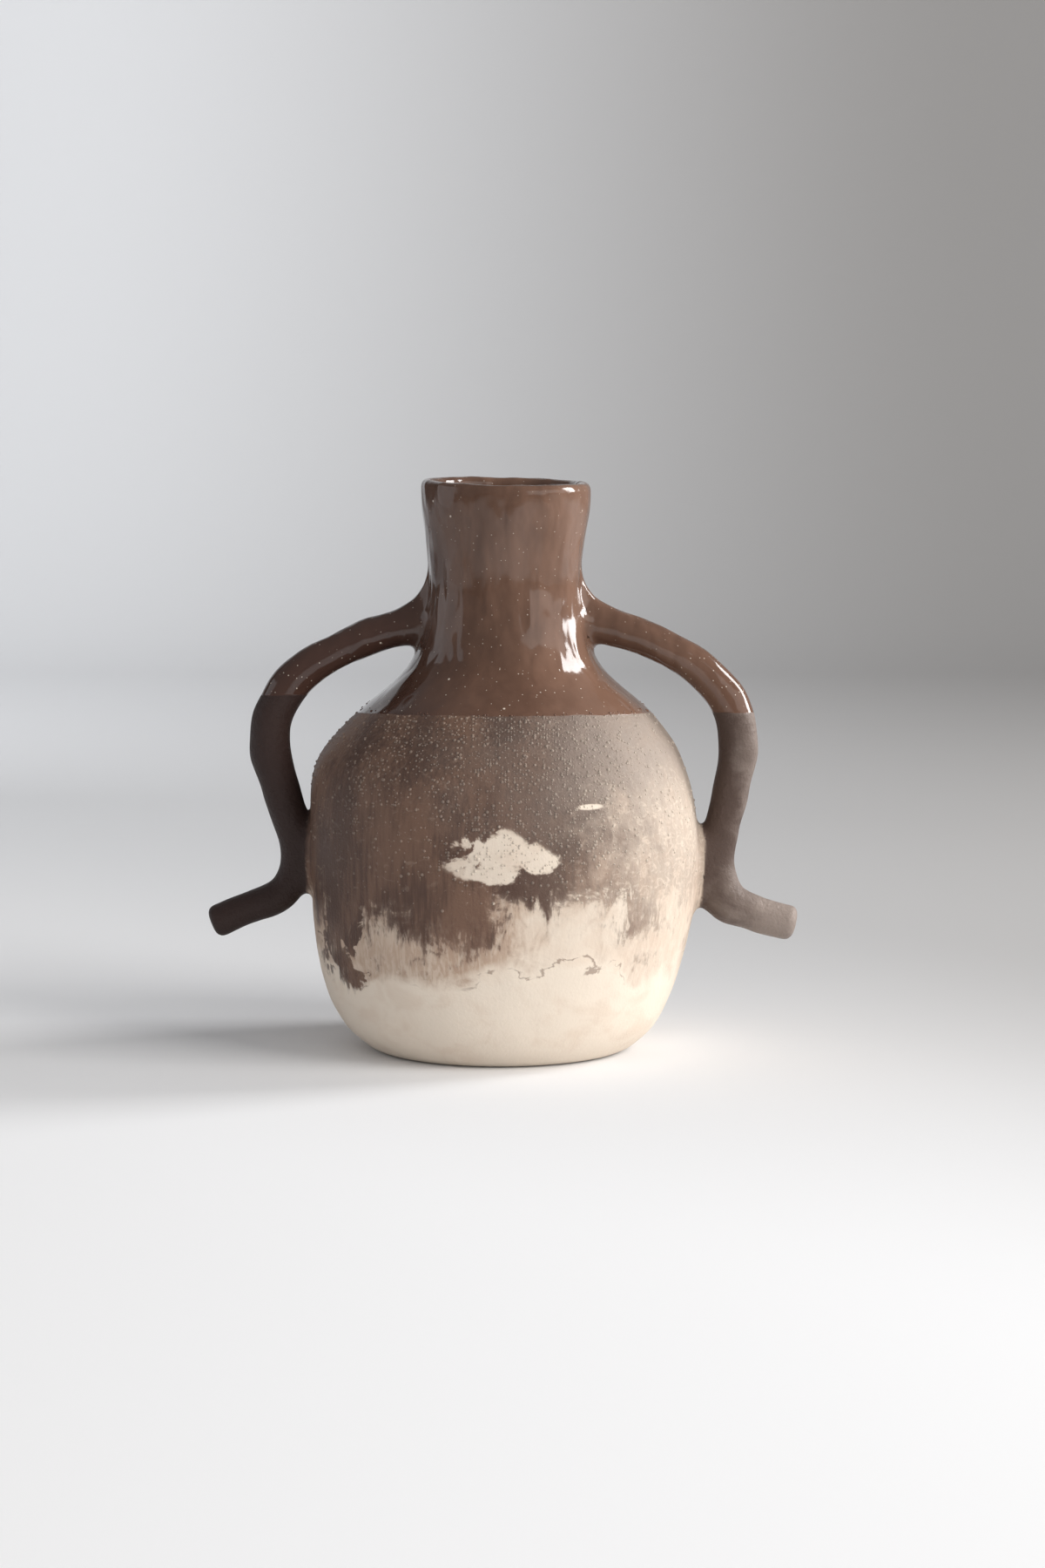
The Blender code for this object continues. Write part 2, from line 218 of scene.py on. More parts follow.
# Finish, in millimetres: spans are where soft rises begin and end, sways are how far noises move an edge
MM_PER_METRE = 1000.0
MARKS = ("inside", "grain", "coil")
NOISES = {
    "clouds": {"size": 40, "seed": 3.1},
    "swirls": {"size": 12, "stretch": (1.3, 1.3, 0.9), "seed": 9.2, "detail": 6, "wobble": 0.5},
    "streaks": {"size": 7, "stretch": (1, 1, 2.2), "seed": 1.7, "detail": 5, "wobble": 1.0},
    "strokes": {"size": 1.5, "stretch": (1, 1, 10), "seed": 5.3},
    "tone": {"size": 24, "stretch": (1, 1, 1.6), "seed": 12.4, "detail": 4},
    "wash_hairs": {"size": 1.8, "stretch": (1, 1, 4), "seed": 14.2, "detail": 5, "wobble": 0.8},
    "slip_hairs": {"size": 1.5, "stretch": (1, 1, 3.5), "seed": 6.6, "detail": 6, "wobble": 0.6},
    "mottles": {"size": 3.2, "stretch": (1.3, 1.3, 1), "seed": 16.4, "detail": 6, "wobble": 1.6},
    "sand": {"size": 1},
    "pits": {"size": 2.2, "seed": 8.1},
    "glaze_waves": {"size": 8, "stretch": (1, 1, 2.5), "seed": 4.4, "detail": 0.5, "wobble": 0.8},
    "glaze_runs": {"size": 12, "stretch": (1, 1, 2.5), "seed": 2.2},
    "dip_line": {"size": 16},
}
NOISE_ROUGHNESS = 0.55

# Roughness, shine and fine relief
CLAY_ROUGHNESS = 0.80
SLIP_ROUGHNESS = 0.52
GLAZE_ROUGHNESS = 0.10
MATTE_SHINE = 0.25
GLAZE_SHINE = 0.5
SAND_RELIEF = (0.16, 0.42)
STROKE_RELIEF = {"strokes": 0.05}
PIT_RELIEF = (0.12, 0.75)
WAVE_SPAN = (138.0, 166.0)
WAVE_RELIEF = (0.5, 1.5)
SPECK_RELIEF = 0.06
GLAZE_THICKNESS = 0.15
BUMP_DISTANCE = 0.001
BUMP_STRENGTH = 0.7
# Sand colour and painted highlight: how much the grains are tinted on bare clay and under full slip
GRAIN_SAND_AND_HIGHLIGHT = (0.8, 0.19)

# Glaze: its dip line, the changes of its brown with its painted light and shade, and its specks with their
# spacing, share and radius
DIP_LEVEL = 130.5
DIP_LEVEL_LEFT_HANDLE = 137.0
DIP_LEFT_SPAN = (-62.0, -72.0)
DIP_SLOPE = -0.073
DIP_EDGE_SPAN = (-0.25, 0.25)
RUN_SPAN = (0.3, 0.7)
LOW_GLAZE_SPAN = (165.0, 134.0)
RED_SHARE = 0.5
# Painted light: the glaze paler on the right of the front, its edge moved by the runs, and less of it on the
# handles
PAINTED_LIGHT_RUN_REACH = (-10.0, 10.0)
PAINTED_LIGHT_SPAN = (4.0, 34.0)
PAINTED_LIGHT_FRONT_SPAN = (20.0, -16.0)
PAINTED_LIGHT_SHARE = 0.5
PAINTED_LIGHT_COIL_SHARES = (1.0, 0.2)
# Painted shade: where the glaze darkens towards the left, and how much on the wall and on the handles
PAINTED_SHADE_SPAN = (-4.0, -46.0)
PAINTED_SHADE_COIL_SHARES = (0.8, 0.9)
FINE_SPECKS = (1.7, 0.55, 0.23)
FINE_SPECK_SHARES = (0.40, 1.0)
LARGE_SPECKS = (7.0, 0.35, 0.42)
SPECK_GROWTH = 0.4
SPECK_EDGE = 0.03

# Wash: the peach tint over the clay, and the thin dark line where its foot dried
WASH_FOOT = 36.0
WASH_FOOT_SWAYS = {"clouds": 24.0, "swirls": 12.0}
WASH_SPAN = (-1.0, 7.0)
WASH_TONE_SHARES = (0.50, 1.25)
WASH_HAIR_SPAN = (0.34, 0.62)
WASH_HAIR_SHARES = (0.6, 1.0)
WASH_RIGHT_SPAN = (0.0, 50.0)
WASH_RIGHT_SHARES = (1.0, 0.45)
WASH_BARE_SHARES = (0.9, 0.15)
DRIED_SWAYS = {"streaks": -2.2}
DRIED_SPAN = (0.7, -0.2)
DRIED_CLOUD_SPAN = (-0.10, 0.10)
DRIED_SHARE = 0.6
BLUSH_SPAN = (-0.1, 0.35)
BLUSH_SHARE = 0.5

# Slip: its ragged edge, a drip, and where the brush ran dry. Ovals have a middle, half size and softness.
FRONT_SWAYS = {"clouds": 40.0}
FRONT_SPAN = (40.0, -35.0)
SLIP_EDGE_SWAYS = {"streaks": -20.0, "strokes": -3.0, "swirls": -27.0, "clouds": -20.0}
SLIP_EDGE_SPAN = (42.0, 68.0)
DRIP = ((-61.0, 52.0), (8.0, 23.0), 0.3)
DRIP_SWAYS_X = {"swirls": 16.0}
DRIP_SWAYS_Z = {"streaks": 16.0}
DRIP_REACH = 26.0
DRY_LEVEL_SPAN = (52.0, 76.0)
DRY_HAIR_SPAN = (0.30, 0.70)
DRY_HAIR_REACH = (-0.40, 0.40)
DRY_EDGE_SPAN = (0.20, 0.80)
DRY_END_SPAN = (0.0, 0.2)
DRY_SHARE = 0.55

# Places on the front where the slip is wiped off, and on the right where it is rubbed, and faded: partly
# thinner slip and partly painted light
BARE_SPOTS = (
    ((-2.0, 85.0), (12.5, 9.0), 0.25),
    ((-6.0, 79.0), (14.0, 4.5), 0.5),
    ((9.5, 83.0), (9.5, 5.0), 0.4),
)
BARE_SWAYS_X = {"swirls": 14.0}
BARE_SWAYS_Z = {"swirls": -9.0}
SCRATCH = ((32.0, 101.5), (4.5, 1.1), 0.6)
SMEAR = ((25.0, 57.0), (17.0, 15.0), 0.9)
SMEAR_SWAYS_X = {"streaks": 34.0}
SMEAR_SWAYS_Z = {"swirls": 22.0}
SMEAR_SHARE = 0.85
RUBBED_SWAYS = {"swirls": 34.0, "streaks": 26.0}
RUBBED_SPAN = (20.0, 66.0)
RUBBED_LEVEL_SPAN = (120.0, 92.0)
RUBBED_OFF = 0.32
RUBBED_SHARES = (1.0, 0.62)
# Thinner slip and painted light: the slip thins out towards the right of the front
FADED_AND_LIT_SWAYS = {"swirls": 16.0}
FADED_AND_LIT_SPAN = (0.0, 78.0)
FADED_AND_LIT_SHARES = (1.0, 0.62)

# Browns of the slip, on the wall and on the handles, with a painted sheen on the wall and painted light and
# shade on the handles
STREAK_SWAYS = {"strokes": 0.25}
STREAK_SPAN = (0.35, 0.68)
# Painted sheen: where the slip turns greyer, to the right and up
GREY_SHEEN_SWAYS = {"clouds": 50.0}
GREY_SHEEN_SPAN = (-35.0, 45.0)
GREY_SHEEN_LEVEL_SPAN = (70.0, 110.0)
# Painted light and shade: where the handles' slip goes from the shaded left tone to the lit right tone
COIL_LIGHT_SHADE_SPAN = (-40.0, 60.0)
# Wear and painted light on the right handle's tail and outer edge
TAIL_WEAR_AND_LIGHT_SWAYS = {"swirls": 20.0}
TAIL_WEAR_AND_LIGHT_SPAN = (74.0, 104.0)
TAIL_WEAR_AND_LIGHT_LEVEL_SPAN = (84.0, 56.0)
EDGE_WEAR_AND_LIGHT_SWAYS = {"swirls": 9.0}
EDGE_WEAR_AND_LIGHT_SPAN = (87.0, 99.0)
EDGE_WEAR_AND_LIGHT_SHARE = 0.75
COIL_WEAR_AND_LIGHT_SHARE = 0.7

# Lights: place, what it faces, size, power and colour
LIGHTS = {
    "window": ((2.40, -1.50, 1.60), (0.0, 0.0, 0.10), (1.9, 1.9), 74.0, (1.0, 0.98, 0.95)),
    "side_window": ((1.33, 0.42, 0.72), (0.0, 0.0, 0.15), (0.50, 0.85), 18.5, (1.0, 1.0, 1.0)),
    "right_card": ((2.60, -1.35, 1.00), (0.0, 0.0, 0.12), (3.6, 1.3), 17.0, (1.0, 0.98, 0.96)),
    "left_card": ((-1.70, 0.00, 0.50), (0.0, 0.0, 0.15), (1.4, 1.1), 3.4, (0.96, 0.96, 1.0)),
    "front_fill": ((0.30, -2.40, 1.30), (0.0, 0.0, 0.08), (2.0, 1.6), 13.0, (1.0, 0.99, 0.97)),
    "backdrop_light": ((-0.90, 0.75, 0.70), (-0.60, 2.40, 1.10), (0.6, 0.6), 7.0, (0.97, 0.98, 1.0)),
}
# Lights that aren't mirrored in the glaze
UNMIRRORED = ("window", "front_fill")

# Stage, and camera with its lens in millimetres and its pitch in degrees
CAMERA_LENS = 100
CAMERA_SENSOR = 36
CAMERA_REACH = 50
CAMERA_PLACE = (0.0069, -1.674, 0.2974)
CAMERA_PITCH = 6.64
STAGE_FRONT = 6.0
STAGE_BACK = 1.6
STAGE_BEND = 0.8
STAGE_BEND_STEPS = 16
STAGE_HEIGHT = 3.0
STAGE_HALF = 6.0
# Painted shade: the floor fades to its far tone all round, towards the lamps on the right, and in front
FLOOR_FADE_ALL_ROUND = (1.40, 3.00)
FLOOR_FADE_RIGHT = (0.30, 1.20)
FLOOR_FADE_FRONT = (-0.70, -1.70)
# Painted shade: the floor gives way to the backdrop sooner on the right, and the backdrop darkens towards the
# right
FLOOR_TO_BACKDROP_SPAN = (-0.35, 0.50)
BACKDROP_SPAN = (-0.45, 0.45)
STAGE_ROUGHNESS = 0.9
STAGE_SHINE = 0.1

# Pieces: the CAD nodes that they stand for
COURSES = ("base_slab", "lower_wall", "belly_wall", "shoulder_wall", "neck_collar", "rim_coil")
HANDLES = {
    "left_handle": ("left_handle", "left_neck_fillet", "left_belly_fillet"),
    "right_handle": ("right_handle", "right_neck_fillet", "right_belly_fillet"),
}


# Curves and blends

def smooth_curve(points, steps):
    """A curve through the points that bends evenly at each of them (a centripetal Catmull-Rom spline)."""
    inner = np.array(points, float)
    ends = 2 * inner[0] - inner[1], 2 * inner[-1] - inner[-2]
    knots = np.vstack([ends[0], inner, ends[1]])
    curve = []
    for a, b, c, d in zip(knots[:-3], knots[1:-2], knots[2:-1], knots[3:]):
        ta = math.sqrt(np.linalg.norm(b - a))
        tb = math.sqrt(np.linalg.norm(c - b))
        tc = math.sqrt(np.linalg.norm(d - c))
        leave = ((b - a) / ta - (c - a) / (ta + tb) + (c - b) / tb) * tb
        arrive = ((c - b) / tb - (d - b) / (tb + tc) + (d - c) / tc) * tb
        for t in np.arange(steps) / steps:
            start = (1 + 2 * t) * (1 - t) ** 2 * b + t * (1 - t) ** 2 * leave
            curve.append(start + t * t * (3 - 2 * t) * c + t * t * (t - 1) * arrive)
    curve.append(inner[-1])
    return np.array(curve)


def ease(value, low, high):
    """0 below low, 1 above high, and a soft rise between. It falls instead if low is above high."""
    t = np.clip((value - low) / (high - low), 0, 1)
    return t * t * (3 - 2 * t)


def soft_least(a, b, reach):
    """The lesser of two distances, blended where they are within reach of each other."""
    overlap = np.maximum(reach - np.abs(a - b), 0) / reach
    return np.minimum(a, b) - overlap * overlap * reach / 4


def soft_most(a, b, reach):
    return -soft_least(-a, -b, reach)


def blurred(table):
    """A table of values at even levels, smoothed without bending its ends."""
    width = int(3 * TABLE_BLUR / TABLE_STEP)
    spread = np.exp(-0.5 * (np.arange(-width, width + 1) * TABLE_STEP / TABLE_BLUR) ** 2)
    steps = np.arange(width, 0, -1)
    before = table[0] - steps * (table[1] - table[0])
    after = table[-1] + steps[::-1] * (table[-1] - table[-2])
    return np.convolve(np.concatenate([before, table, after]), spread / spread.sum(), "valid")


# The vase as distances: below 0 inside the clay, above 0 outside it

class Wall:
    """Radius of the wall's outside and inside, looked up by level."""

    def __init__(self):
        outline = smooth_curve(SECTIONS, SECTION_STEPS)
        self.levels = np.arange(0, SECTIONS[-1][1] + TABLE_STEP, TABLE_STEP)
        self.leans = blurred(np.interp(self.levels, outline[:, 1], outline[:, 2]))
        self.outer = blurred(np.interp(self.levels, outline[:, 1], outline[:, 0]))
        self.outer_slope = np.gradient(self.outer, TABLE_STEP)
        tilt = np.hypot(1, self.outer_slope)
        inner_radius = self.outer - WALL / tilt
        inner_level = self.levels + WALL * self.outer_slope / tilt
        self.inner = np.interp(self.levels, inner_level, inner_radius)
        self.inner_slope = np.gradient(self.inner, TABLE_STEP)

    def from_axis(self, points):
        lean = np.interp(points[:, 2], self.levels, self.leans)
        return np.hypot(points[:, 0] - lean, points[:, 1])

    def outside(self, points):
        radius = np.interp(points[:, 2], self.levels, self.outer)
        slope = np.interp(points[:, 2], self.levels, self.outer_slope)
        return (self.from_axis(points) - radius) / np.hypot(1, slope)

    def cavity(self, points):
        """Below 0 in the hollow."""
        radius = np.interp(points[:, 2], self.levels, self.inner)
        slope = np.interp(points[:, 2], self.levels, self.inner_slope)
        side = (self.from_axis(points) - radius) / np.hypot(1, slope)
        return soft_most(side, SLAB_TOP - points[:, 2], CAVITY_ROUND)


class Handle:
    """A coil, looked up on a grid over the upright plane that its centre line lies in."""

    def __init__(self, route, press_bottom):
        self.press_bottom = press_bottom
        line = smooth_curve(route, ROUTE_STEPS)
        self.hand = math.copysign(1, route[-1][0])
        self.low = line[:, :2].min(0) - GRID_REACH
        self.size = np.ceil((line[:, :2].max(0) + GRID_REACH - self.low) / GRID_STEP).astype(int)
        grid = np.stack(np.meshgrid(*[np.arange(n) for n in self.size], indexing="ij"), -1)
        spots = self.low + GRID_STEP * grid.reshape(-1, 2)
        nearest = np.full(len(spots), np.inf)
        self.side, self.past, self.half = np.zeros((3, len(spots)))
        for start, end in zip(line[:-1], line[1:]):
            length = np.linalg.norm(end[:2] - start[:2])
            way = (end[:2] - start[:2]) / length
            offset = spots - start[:2]
            along = offset @ way
            on_line = np.clip(along, 0, length)
            gap = np.linalg.norm(offset - on_line[:, None] * way, axis=1)
            new = gap < nearest
            nearest[new] = gap[new]
            across = way[0] * offset[:, 1] - way[1] * offset[:, 0]
            self.side[new] = self.hand * across[new]
            self.past[new] = (along - on_line)[new]
            self.half[new] = (start[2] + (end[2] - start[2]) * on_line / length)[new]
        self.past = np.abs(self.past)

    def look_up(self, points):
        """Signed distance from the centre line in its plane, distance past an end, and half thickness."""
        place = (points[:, [0, 2]] - self.low) / GRID_STEP
        place = np.clip(place, 0, self.size - GRID_END)
        cell = place.astype(int)
        part = place - cell
        corner = cell[:, 0] * self.size[1] + cell[:, 1]
        found = []
        for table in (self.side, self.past, self.half):
            near = table[corner] * (1 - part[:, 1]) + table[corner + 1] * part[:, 1]
            far_corner = corner + self.size[1]
            far = table[far_corner] * (1 - part[:, 1]) + table[far_corner + 1] * part[:, 1]
            found.append(near * (1 - part[:, 0]) + far * part[:, 0])
        return found

    def outside(self, points):
        """Distance from the coil, and how far its joint with the wall reaches there."""
        side, past, half = self.look_up(points)
        section = np.hypot(side, points[:, 1]) / half
        bulk = (section ** TAIL_BLUNTNESS + (past / TAIL_ROUND) ** TAIL_BLUNTNESS) ** (1 / TAIL_BLUNTNESS)
        level = points[:, 2]
        neck = NECK_BLEND_UNDER + (NECK_BLEND_OVER - NECK_BLEND_UNDER) * ease(side / half, -1, 1)
        neck *= 1 - NECK_FLANK_LOSS * ease(np.abs(points[:, 1]) / half, *NECK_FLANK_SPAN)
        pressed = ease(level, *self.press_bottom) * ease(level, *BELLY_PRESS_TOP)
        belly = BELLY_BLEND_ENDS + (BELLY_BLEND - BELLY_BLEND_ENDS) * pressed
        return (bulk - 1) * half, np.where(level < JOINTS_PARTED, belly, neck)

    def outer_side(self, points):
        """True on the coil's own side of the vase, away from the axis."""
        return self.hand * points[:, 0] > COIL_BEGINS


wall = Wall()
coils = {name: Handle(route, BELLY_PRESS_BOTTOM[name]) for name, route in ROUTES.items()}


def vase(points):
    """Distance of points from the vase's skin, handles and all."""
    solid = wall.outside(points)
    for coil in coils.values():
        near = np.flatnonzero(coil.outer_side(points) & (np.abs(points[:, 1]) < GRID_REACH))
        distance, reach = coil.outside(points[near])
        solid[near] = soft_least(solid[near], distance, reach)
    solid = soft_most(solid, -wall.cavity(points), LIP_ROUND)
    lip = LIP_LEVEL + LIP_TILT * points[:, 0]
    solid = soft_most(solid, points[:, 2] - lip, LIP_ROUND)
    return soft_most(solid, -points[:, 2], FOOT_ROUND)


# The skin: a net of quads drawn round the vase and pulled onto it

def surface_net(field, low, high, step):
    """A point in the middle of each grid cell that the surface passes through, and quads that join them."""
    count = np.ceil((high - low) / step).astype(int) + 1
    x, y = np.meshgrid(*[low[a] + step * np.arange(count[a]) for a in (0, 1)], indexing="ij")
    solid = np.empty(count, bool)
    for layer in range(count[2]):
        level = np.full(x.size, low[2] + step * layer)
        values = field(np.stack([x.ravel(), y.ravel(), level], 1))
        solid[:, :, layer] = (values < 0).reshape(x.shape)
    filled = np.zeros(count - 1, np.int8)
    for i, j, k in itertools.product((0, 1), repeat=3):
        filled += solid[i:count[0] - 1 + i, j:count[1] - 1 + j, k:count[2] - 1 + k]
    mixed = (filled > 0) & (filled < 8)
    index = np.full(mixed.shape, -1)
    index[mixed] = np.arange(mixed.sum())
    points = low + step * (np.argwhere(mixed) + 0.5)
    quads = []
    for axis in range(3):
        change = np.diff(solid.astype(np.int8), axis=axis)
        crossed = np.argwhere(change != 0)
        ring = []
        for second, third in ((0, 0), (-1, 0), (-1, -1), (0, -1)):
            shift = np.zeros(3, int)
            shift[(axis + 1) % 3] = second
            shift[(axis + 2) % 3] = third
            ring.append(index[tuple((crossed + shift).T)])
        ring = np.stack(ring, 1)
        entering = change[tuple(crossed.T)] > 0
        ring[entering] = ring[entering][:, ::-1]
        quads.append(ring)
    return points, np.concatenate(quads)


def slope_of(field, points, values):
    steps = np.eye(3) * PROBE
    return np.stack([(field(points + step) - values) / PROBE for step in steps], 1)


def pull_onto(field, points, free):
    """One step of the points towards the surface, along the axes that each is free to move on."""
    values = field(points)
    slope = slope_of(field, points, values) * free
    move = -values[:, None] * slope / np.maximum((slope ** 2).sum(1), LEAST_SLOPE)[:, None]
    return points + np.clip(move, -LONGEST_MOVE, LONGEST_MOVE)


def evened(points, quads):
    """Each point halfway to the middle of its neighbours."""
    a = quads.ravel()
    b = np.roll(quads, -1, axis=1).ravel()
    ends = np.concatenate([a, b])
    others = np.concatenate([b, a])
    count = np.bincount(ends, minlength=len(points))
    sums = [np.bincount(ends, points[others, axis], len(points)) for axis in range(3)]
    return (points + np.stack(sums, 1) / count[:, None]) / 2


def seam_levels():
    """Levels where one course of the CAD wall ends and the next begins."""
    tops = [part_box(name)[1].z for name in COURSES[:-1]]
    bottoms = [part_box(name)[0].z for name in COURSES[1:]]
    return [(top + bottom) / 2 for top, bottom in zip(tops, bottoms)]


def sort_faces(points, quads, seams):
    """Number of the piece that each quad belongs to: the courses from the bottom up, then the handles."""
    middles = points[quads].mean(1)
    owner = np.searchsorted(seams, middles[:, 2])
    body = wall.outside(middles)
    for number, coil in enumerate(coils.values(), len(COURSES)):
        reach = coil.outer_side(middles) & (body > -WALL / 2)
        distance = coil.outside(middles)[0]
        owner[reach & (distance < body)] = number
    return owner


def owners_across(quads, owner):
    """The piece on the far side of each side of each quad."""
    ends = np.roll(quads, -1, axis=1)
    sides = np.sort(np.stack([quads, ends], 2).reshape(-1, 2), axis=1)
    _, number = np.unique(sides, axis=0, return_inverse=True)
    number = number.ravel()
    mine = np.repeat(owner, 4)
    shared = np.bincount(number)[number] == 2
    other = np.bincount(number, mine)[number].astype(int) - mine
    return np.where(shared, other, mine).reshape(-1, 4)


def trim_corners(quads, owner, lower_gives):
    """Gives each corner that juts into another piece to that piece. A triangle has its last point twice."""
    across = owners_across(quads, owner)
    left = quads[:, 2] != quads[:, 3]
    new_quads, new_owner = [], []
    for side in range(4):
        first, corner, last, rest = (quads[:, (side + step) % 4] for step in range(4))
        taker = across[:, side]
        both_sides = taker == across[:, (side + 1) % 4]
        juts = left & both_sides & (taker != owner) & ((owner < taker) == lower_gives)
        given = np.stack([first, corner, last, last], 1)
        kept = np.stack([first, last, rest, rest], 1)
        new_quads += [given[juts], kept[juts]]
        new_owner += [taker[juts], owner[juts]]
        left = left & ~juts
    whole = left | (quads[:, 2] == quads[:, 3])
    return np.concatenate([quads[whole], *new_quads]), np.concatenate([owner[whole], *new_owner])


def seams_of_points(quads, owner, count):
    """For each point the course under the seam that it lies on, or -1 if it lies on none."""
    lowest = np.full(count, len(COURSES))
    highest = np.full(count, -1)
    in_course = owner < len(COURSES)
    for corner in range(4):
        np.minimum.at(lowest, quads[in_course, corner], owner[in_course])
        np.maximum.at(highest, quads[in_course, corner], owner[in_course])
    return np.where(highest > lowest, lowest, -1)


def lay_skin():
    """The skin's points and quads, each quad's piece, and the seam that each point lies on, if any."""
    seams = seam_levels()
    low = np.array(cad_box[0]) - NET_MARGIN
    high = np.array(cad_box[1]) + NET_MARGIN
    points, quads = surface_net(vase, low, high, NET_STEP)
    free = np.ones(points.shape)
    for _ in range(FIRST_PULLS):
        points = pull_onto(vase, points, free)
    for _ in range(RELAX_ROUNDS // 2):
        points = pull_onto(vase, evened(points, quads), free)
    owner = sort_faces(points, quads, seams)
    seam_of = seams_of_points(quads, owner, len(points))
    between = np.flatnonzero(seam_of >= 0)
    free[between, 2] = 0
    for _ in range(RELAX_ROUNDS):
        points = evened(points, quads)
        points[between, 2] = np.array(seams)[seam_of[between]]
        points = pull_onto(vase, points, free)
    for _ in range(LAST_PULLS):
        points = pull_onto(vase, points, free)
    for lower_gives in (True, False):
        quads, owner = trim_corners(quads, owner, lower_gives)
    return points, quads, owner, seam_of


# Marks of the hand: slow swells, upright ripples on the neck, and sand grains under the slip

def noise_at(points, length, shift=(0, 0, 0)):
    """Slow noise from -1 to 1, in lumps of the given length."""
    return np.array([noise.noise(Vector(p) / length + Vector(shift)) for p in points])


def hand_made(points, outward):
    """The skin with the unevenness of hand-building, fading out towards the foot's flat."""
    swell = noise_at(points, SWELL_LENGTH)
    dent = noise_at(points, DENT_LENGTH)
    ripple = noise_at(points * (1 / RIPPLE_WIDTH, 1 / RIPPLE_WIDTH, 1 / RIPPLE_HEIGHT), 1)
    on_neck = ease(points[:, 2], *RIPPLE_SPAN)
    dent_depth = DENT_DEPTH * (1 + (HANDLE_DENTS - 1) * coil_share(points))
    push = SWELL_DEPTH * swell + dent_depth * dent + RIPPLE_DEPTH * ripple * on_neck
    return points + (push * ease(points[:, 2], *FOOT_SPAN))[:, None] * outward


def skin_normals(points, quads):
    """Each point's normal: the mean of its quads' normals, larger quads counting for more."""
    a, b, c, d = (points[quads[:, corner]] for corner in range(4))
    faces = np.cross(c - a, d - b)
    total = np.zeros(points.shape)
    for corner in range(4):
        for axis in range(3):
            total[:, axis] += np.bincount(quads[:, corner], faces[:, axis], len(points))
    return total / np.linalg.norm(total, axis=1)[:, None]


def grain_shape():
    """A low dome on the XY plane with its foot below it: points and faces."""
    turns = np.arange(GRAIN_SIDES) * 2 * math.pi / GRAIN_SIDES
    circle = np.stack([np.cos(turns), np.sin(turns)], 1)
    rings = [np.column_stack([circle * wide, np.full(GRAIN_SIDES, high)]) for wide, high in GRAIN_RINGS]
    points = np.vstack([*rings, (0, 0, GRAIN_TOP)])
    faces = [list(range(GRAIN_SIDES))[::-1]]
    for ring in range(len(rings) - 1):
        for side in range(GRAIN_SIDES):
            left = ring * GRAIN_SIDES + side
            right = ring * GRAIN_SIDES + (side + 1) % GRAIN_SIDES
            faces.append([left, right, right + GRAIN_SIDES, left + GRAIN_SIDES])
    last = (len(rings) - 1) * GRAIN_SIDES
    for side in range(GRAIN_SIDES):
        faces.append([last + side, last + (side + 1) % GRAIN_SIDES, len(points) - 1])
    return points, faces


def grain_density(middles):
    """How thick the grains lie: most on the front of the shoulder, few on the right, in drifts elsewhere."""
    drift = noise_at(middles, DRIFT_LENGTH, DRIFT_SHIFT)
    front = np.exp(-((middles[:, 0] - FRONT_MIDDLE) / FRONT_SPREAD) ** 2) * (middles[:, 1] < 0)
    upper = ease(middles[:, 2], *UPPER_SPAN)
    right = 1 - RIGHT_LOSS * ease(middles[:, 0], *RIGHT_SPAN)
    return upper * ((EVEN_SHARE + DRIFT_SHARE * ease(drift, *DRIFT_SPAN)) * right + FRONT_SHARE * front)


def scatter_grains(points, quads, outward, rng):
    """Seats of the grains on the outer wall: place, normal and size, and the quad that each sits on."""
    middles = points[quads].mean(1)
    normals = outward[quads].mean(1)
    normals /= np.linalg.norm(normals, axis=1)[:, None]
    on_wall = (wall.outside(middles) > GRAIN_DEEPEST) & (coil_share(middles) < GRAIN_COIL_LIMIT)
    below_glaze = middles[:, 2] < GRAIN_HIGHEST
    chance = np.where(on_wall & below_glaze, grain_density(middles), 0)
    chosen = rng.choice(len(quads), GRAIN_COUNT, replace=False, p=chance / chance.sum())
    size = GRAIN_LEAST + (GRAIN_MOST - GRAIN_LEAST) * rng.random(GRAIN_COUNT) ** 2
    return middles[chosen], normals[chosen], size, chosen


def set_grains(places, normals, sizes):
    """One mesh's worth of grains: points, faces and point normals."""
    shape, faces = grain_shape()
    across = np.cross(normals, GRAIN_TURN)
    across /= np.linalg.norm(across, axis=1)[:, None]
    third = np.cross(normals, across)
    axes = np.stack([across, third, normals], 1)
    points = places[:, None] + np.einsum("vk,nkx->nvx", shape, axes) * sizes[:, None, None]
    lift = np.einsum("vk,nkx->nvx", shape * GRAIN_NORMAL_STRETCH + GRAIN_NORMAL_LIFT, axes)
    lift /= np.linalg.norm(lift, axis=2)[:, :, None]
    all_faces = [[i + n * len(shape) for i in face] for n in range(len(places)) for face in faces]
    return points.reshape(-1, 3), all_faces, lift.reshape(-1, 3)


# Pieces

def close_cuts(mesh, seam_of):
    """Caps where the piece meets its neighbours, so that it is a closed solid."""
    shape = bmesh.new()
    shape.from_mesh(mesh)
    cuts = {}
    for edge in shape.edges:
        if edge.is_boundary:
            middle = (edge.verts[0].co + edge.verts[1].co) / 2
            seam = min(seam_of[vert.index] for vert in edge.verts)
            joint = (middle.x > 0, middle.z > JOINTS_PARTED)
            cuts.setdefault(joint if seam < 0 else seam, []).append(edge)
    for edges in cuts.values():
        made = bmesh.ops.triangle_fill(shape, use_beauty=True, use_dissolve=False, edges=edges)
        cap = [item for item in made["geom"] if isinstance(item, bmesh.types.BMFace)]
        bmesh.ops.recalc_face_normals(shape, faces=cap)
        first, second = edges[0].link_loops
        if first.vert == second.vert:
            bmesh.ops.reverse_faces(shape, faces=cap)
    shape.to_mesh(mesh)
    shape.free()


